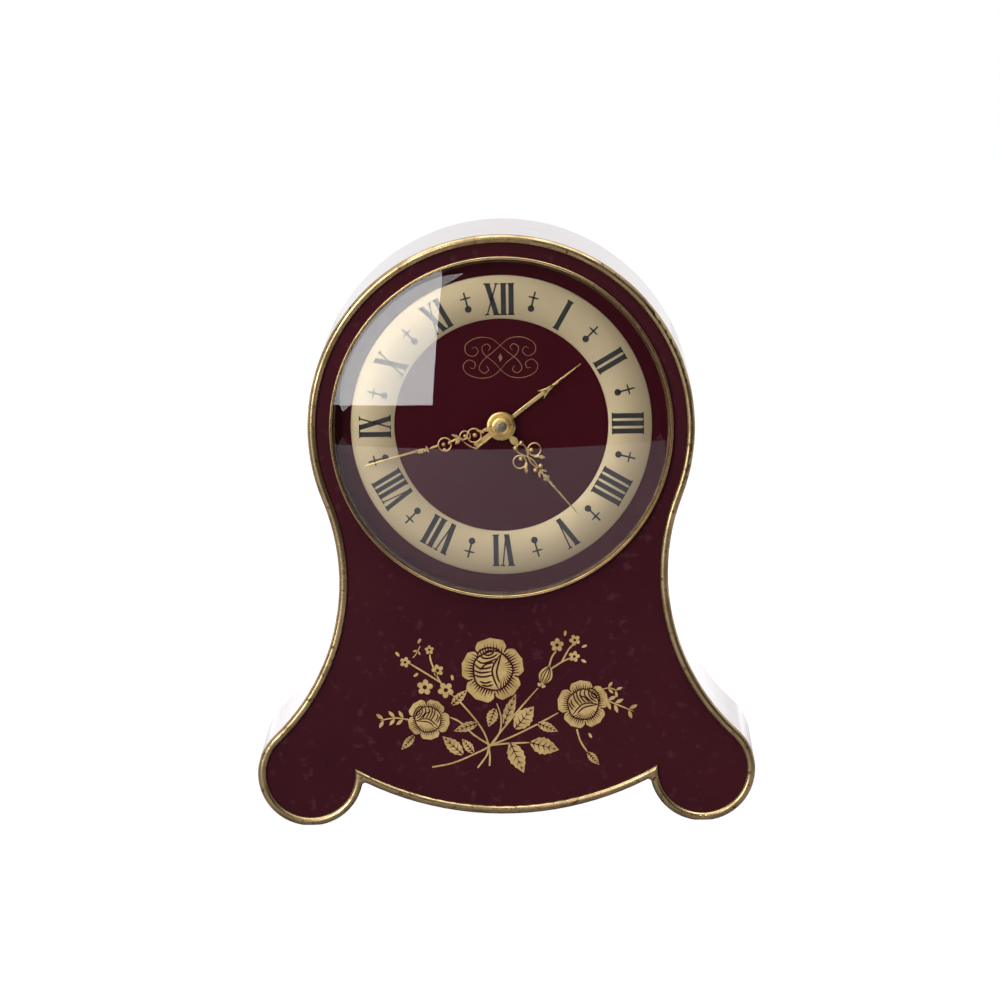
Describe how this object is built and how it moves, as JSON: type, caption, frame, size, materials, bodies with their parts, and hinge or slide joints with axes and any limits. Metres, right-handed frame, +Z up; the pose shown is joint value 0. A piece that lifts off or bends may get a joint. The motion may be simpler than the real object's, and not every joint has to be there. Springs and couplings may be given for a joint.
{
  "type": "table clock",
  "caption": "Wound alarm clock with a lacquered waisted case on two feet, domed glass, three hands and fold-down winding keys at the back.",
  "frame": {"origin": "middle of the overall box, on the surface the clock stands on", "axes": "+Z up, -Y out of the dial towards the viewer, +X to the viewer's right"},
  "size_m": [0.1264, 0.0524, 0.15],
  "materials": {
    "lacquer": "gloss",
    "rim_brass": "worn satin",
    "bezel_brass": "polished",
    "glass": "clear",
    "dial_lacquer": "satin",
    "chapter_metal": "brushed",
    "gilt": "gilt",
    "alarm_gilt": "gilt",
    "steel": "polished",
    "cover_brass": "brushed",
    "screw_steel": "satin",
    "key_brass": "polished",
    "blue_steel": "blued",
    "movement_brass": "satin"
  },
  "bodies": {
    "case": {"case_band": "lacquer", "front_rim": "rim_brass", "front_panel": "lacquer", "dial_bezel": "bezel_brass", "crystal": "glass", "dial_spacer": "dial_lacquer", "dial_plate": "dial_lacquer", "chapter_ring": "chapter_metal", "back_cover": "cover_brass", "cover_bosses": "movement_brass", "cover_screws": "screw_steel", "case_posts": "movement_brass", "post_screws": "screw_steel", "front_plate": "movement_brass", "back_plate": "movement_brass", "plate_pillars": "movement_brass", "pillar_screws": "screw_steel", "click_screws": "screw_steel", "hairspring_stud": "steel", "gong": "steel", "gong_mount": "movement_brass"},
    "minute_work": {"minute_hand": "gilt", "cannon_pinion": "movement_brass", "hand_cap": "steel"},
    "hour_work": {"hour_hand": "gilt", "hour_wheel": "movement_brass"},
    "minute_arbor": {"minute_wheel": "movement_brass", "hand_set_knob": "key_brass"},
    "alarm_work": {"alarm_hand": "alarm_gilt", "alarm_wheel": "movement_brass"},
    "alarm_setter": {"alarm_set_arbor": "steel", "alarm_set_knob": "key_brass"},
    "centre": {"centre_wheel": "movement_brass"},
    "third": {"third_wheel": "movement_brass"},
    "fourth": {"fourth_wheel": "movement_brass"},
    "escape": {"escape_wheel": "movement_brass"},
    "time_drum": {"time_barrel": "movement_brass", "time_barrel_lid": "movement_brass", "time_mainspring": "blue_steel"},
    "lever": {"pallet_lever": "steel"},
    "balance": {"balance_wheel": "movement_brass", "hairspring": "blue_steel"},
    "time_winder": {"time_winding_arbor": "steel", "time_ratchet": "steel", "time_key_hub": "key_brass"},
    "time_wing": {"time_key_wing": "key_brass"},
    "alarm_winder": {"alarm_winding_arbor": "steel", "alarm_ratchet": "steel", "alarm_key_hub": "key_brass"},
    "alarm_wing": {"alarm_key_wing": "key_brass"},
    "time_pawl": {"time_click": "steel"},
    "alarm_pawl": {"alarm_click": "steel"},
    "alarm_drum": {"alarm_barrel": "movement_brass", "alarm_barrel_lid": "movement_brass", "alarm_mainspring": "blue_steel"},
    "alarm_escape": {"alarm_escape_wheel": "movement_brass"},
    "hammer": {"alarm_hammer": "steel"},
    "regulator": {"regulator_lever": "key_brass"},
    "stop": {"stop_slide": "key_brass"}
  },
  "joints": [
    {"name": "hand_setting", "type": "hinge", "parent": "case", "child": "minute_work", "pos_m": [0, -0.02067, 0.1011], "axis": [0, 1, 0], "continuous": true},
    {"name": "hour_turn", "type": "hinge", "parent": "case", "child": "hour_work", "pos_m": [0, -0.02067, 0.1011], "axis": [0, 1, 0], "continuous": true},
    {"name": "hand_knob_turn", "type": "hinge", "parent": "case", "child": "minute_arbor", "pos_m": [0.00342, 0.02283, 0.0917], "axis": [0, 1, 0], "continuous": true},
    {"name": "alarm_setting", "type": "hinge", "parent": "case", "child": "alarm_work", "pos_m": [0, -0.02067, 0.1011], "axis": [0, 1, 0], "continuous": true},
    {"name": "alarm_knob_turn", "type": "hinge", "parent": "case", "child": "alarm_setter", "pos_m": [-0.00507, 0.02283, 0.09022], "axis": [0, 1, 0], "continuous": true},
    {"name": "fourth_turn", "type": "hinge", "parent": "case", "child": "fourth", "pos_m": [0.00183, -0.00668, 0.1165], "axis": [0, 1, 0], "continuous": true},
    {"name": "third_turn", "type": "hinge", "parent": "case", "child": "third", "pos_m": [-0.00199, -0.00668, 0.10988], "axis": [0, 1, 0], "continuous": true},
    {"name": "centre_turn", "type": "hinge", "parent": "case", "child": "centre", "pos_m": [0, -0.00668, 0.1011], "axis": [0, 1, 0], "continuous": true},
    {"name": "time_drum_turn", "type": "hinge", "parent": "case", "child": "time_drum", "pos_m": [-0.0147, -0.00668, 0.1011], "axis": [0, 1, 0], "continuous": true},
    {"name": "escape_turn", "type": "hinge", "parent": "case", "child": "escape", "pos_m": [0.00833, -0.00668, 0.11765], "axis": [0, 1, 0], "continuous": true},
    {"name": "balance_swing", "type": "hinge", "parent": "case", "child": "balance", "pos_m": [0.01858, 0.00483, 0.10857], "axis": [0, 1, 0], "range_deg": [-18, 18], "stiffness_Nm_per_rad": 0.000006},
    {"name": "lever_swing", "type": "hinge", "parent": "case", "child": "lever", "pos_m": [0.01344, 0.00352, 0.1147], "axis": [0, 1, 0], "range_deg": [-4, 4]},
    {"name": "time_winding", "type": "hinge", "parent": "case", "child": "time_winder", "pos_m": [-0.0147, 0.02283, 0.1011], "axis": [0, 1, 0], "continuous": true},
    {"name": "time_wing_fold", "type": "hinge", "parent": "time_winder", "child": "time_wing", "pos_m": [-0.0147, 0.02538, 0.1011], "axis": [1, 0, 0], "range_deg": [0, 90]},
    {"name": "alarm_winding", "type": "hinge", "parent": "case", "child": "alarm_winder", "pos_m": [0.0155, 0.02283, 0.0961], "axis": [0, 1, 0], "continuous": true},
    {"name": "alarm_wing_fold", "type": "hinge", "parent": "alarm_winder", "child": "alarm_wing", "pos_m": [0.0155, 0.02538, 0.0961], "axis": [1, 0, 0], "range_deg": [0, 90]},
    {"name": "time_click_swing", "type": "hinge", "parent": "case", "child": "time_pawl", "pos_m": [-0.02076, 0.00962, 0.1046], "axis": [0, -1, 0], "range_deg": [0, 8]},
    {"name": "alarm_click_swing", "type": "hinge", "parent": "case", "child": "alarm_pawl", "pos_m": [0.00944, 0.00962, 0.0996], "axis": [0, -1, 0], "range_deg": [0, 8]},
    {"name": "alarm_drum_turn", "type": "hinge", "parent": "case", "child": "alarm_drum", "pos_m": [0.0155, -0.00668, 0.0961], "axis": [0, 1, 0], "continuous": true},
    {"name": "alarm_escape_turn", "type": "hinge", "parent": "case", "child": "alarm_escape", "pos_m": [0.01003, -0.00668, 0.08436], "axis": [0, 1, 0], "continuous": true},
    {"name": "hammer_swing", "type": "hinge", "parent": "case", "child": "hammer", "pos_m": [0.00483, 0.01172, 0.08136], "axis": [0, -1, 0], "range_deg": [-6, 3.5]},
    {"name": "regulator_swing", "type": "hinge", "parent": "case", "child": "regulator", "pos_m": [0.01858, 0.00962, 0.10857], "axis": [0, 1, 0], "range_deg": [-15, 15]},
    {"name": "alarm_stop_slide", "type": "slide", "parent": "case", "child": "stop", "axis": [1, 0, 0], "range_m": [0, 0.004]}
  ],
  "couplings": [
    {"joint": "hour_turn", "follows": "hand_setting", "ratio": 0.083333},
    {"joint": "hand_knob_turn", "follows": "hand_setting", "ratio": -0.33333},
    {"joint": "alarm_knob_turn", "follows": "alarm_setting", "ratio": -3},
    {"joint": "third_turn", "follows": "fourth_turn", "ratio": -0.13333},
    {"joint": "centre_turn", "follows": "fourth_turn", "ratio": 0.016667},
    {"joint": "time_drum_turn", "follows": "fourth_turn", "ratio": -0.0027778},
    {"joint": "escape_turn", "follows": "fourth_turn", "ratio": -10},
    {"joint": "alarm_escape_turn", "follows": "alarm_drum_turn", "ratio": -6.4},
    {"joint": "lever_swing", "follows": "balance_swing", "ratio": -0.21212}
  ]
}
